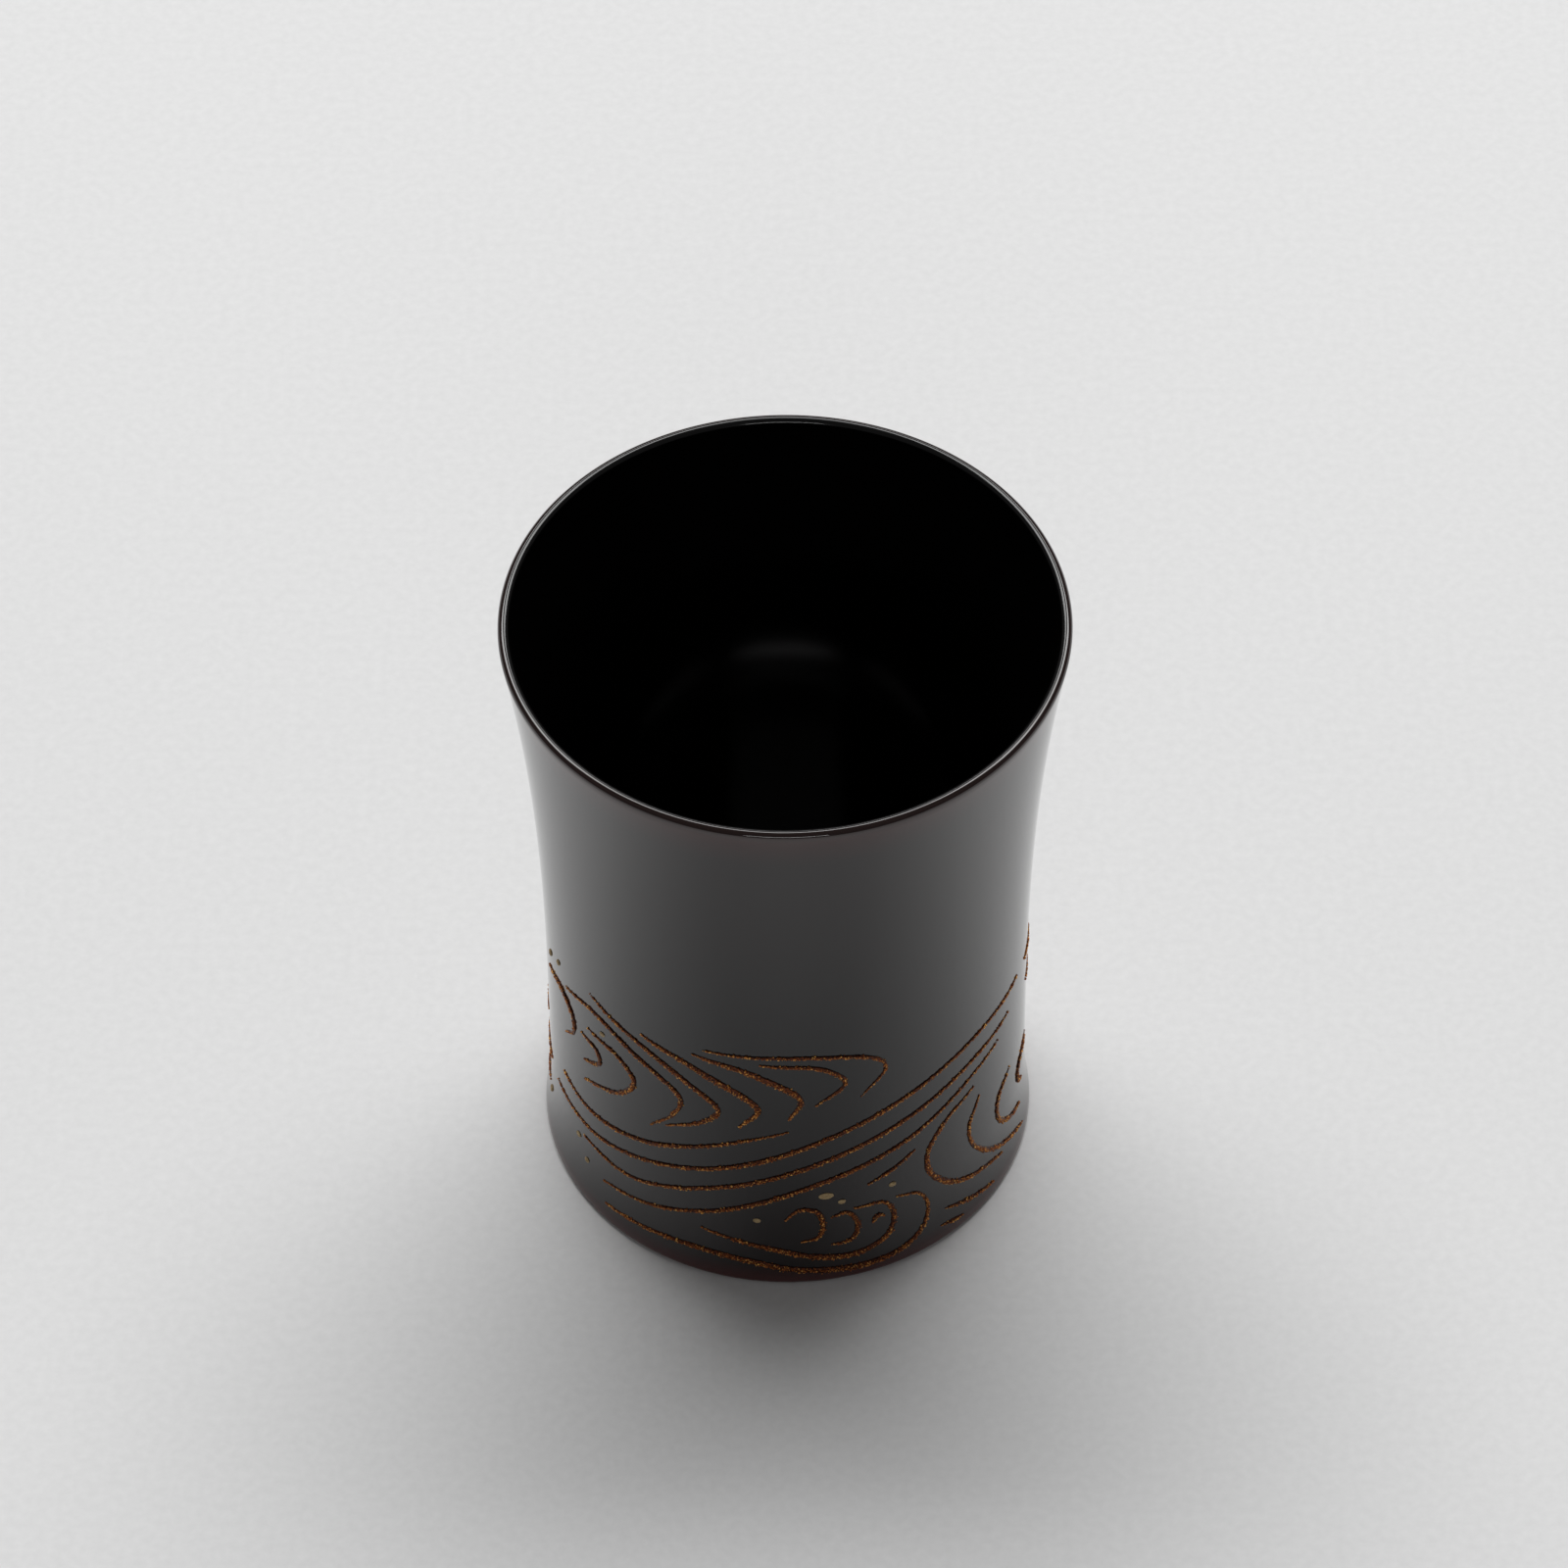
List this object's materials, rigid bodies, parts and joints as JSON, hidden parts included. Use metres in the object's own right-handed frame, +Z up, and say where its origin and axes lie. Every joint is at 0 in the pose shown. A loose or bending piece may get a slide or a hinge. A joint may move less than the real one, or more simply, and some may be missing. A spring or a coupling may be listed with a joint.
{
  "type": "lacquer sake cup",
  "caption": "Waisted round sake cup of lacquered wood with a flared rim, and a raised gold wave drawn round its wall.",
  "frame": {"origin": "centre of the circle that the cup stands on", "axes": "+Z up along the cup's axis; -Y towards the pictured front"},
  "size_m": [0.062, 0.062, 0.081],
  "materials": {
    "core_wood": "bare turned wood, hidden by lacquer",
    "red_lacquer": "dark red lacquer undercoat",
    "brown_lacquer": "polished translucent brown-black lacquer, reddish at its edges",
    "black_lacquer": "mirror-polished black lacquer",
    "gold_powder": "amber gold powder on raised lacquer, satin with bright grains",
    "pale_gold": "matte pale gold powder"
  },
  "bodies": {
    "root": {"black_foot_coat": "black_lacquer", "black_inner_coat": "black_lacquer", "brown_top_coat": "brown_lacquer", "gold_back_hairpin_1": "gold_powder", "gold_back_hairpin_2": "gold_powder", "gold_back_hairpin_3": "gold_powder", "gold_back_hairpin_4": "gold_powder", "gold_back_stream_1": "gold_powder", "gold_back_stream_2": "gold_powder", "gold_back_stream_3": "gold_powder", "gold_back_stream_4": "gold_powder", "gold_back_stream_5": "gold_powder", "gold_back_swell_1": "gold_powder", "gold_back_swell_2": "gold_powder", "gold_crest_curl_0": "gold_powder", "gold_crest_curl_1": "gold_powder", "gold_crest_curl_2": "gold_powder", "gold_crest_curl_3": "gold_powder", "gold_crest_eye": "gold_powder", "gold_curl_h": "gold_powder", "gold_curl_i": "gold_powder", "gold_drop_1": "pale_gold", "gold_drop_10": "pale_gold", "gold_drop_11": "pale_gold", "gold_drop_12": "pale_gold", "gold_drop_13": "pale_gold", "gold_drop_2": "pale_gold", "gold_drop_3": "pale_gold", "gold_drop_4": "pale_gold", "gold_drop_5": "pale_gold", "gold_drop_6": "pale_gold", "gold_drop_7": "pale_gold", "gold_drop_8": "pale_gold", "gold_drop_9": "pale_gold", "gold_hairpin_a": "gold_powder", "gold_hairpin_b": "gold_powder", "gold_hairpin_c": "gold_powder", "gold_hairpin_d": "gold_powder", "gold_hairpin_e": "gold_powder", "gold_hairpin_f": "gold_powder", "gold_hairpin_g": "gold_powder", "gold_return_1": "gold_powder", "gold_return_2": "gold_powder", "gold_return_3": "gold_powder", "gold_return_4": "gold_powder", "gold_return_5": "gold_powder", "gold_return_6": "gold_powder", "gold_stream_1": "gold_powder", "gold_stream_2": "gold_powder", "gold_stream_3": "gold_powder", "gold_stream_4": "gold_powder", "gold_stream_5": "gold_powder", "red_undercoat": "red_lacquer", "wood_core": "core_wood"}
  },
  "joints": []
}
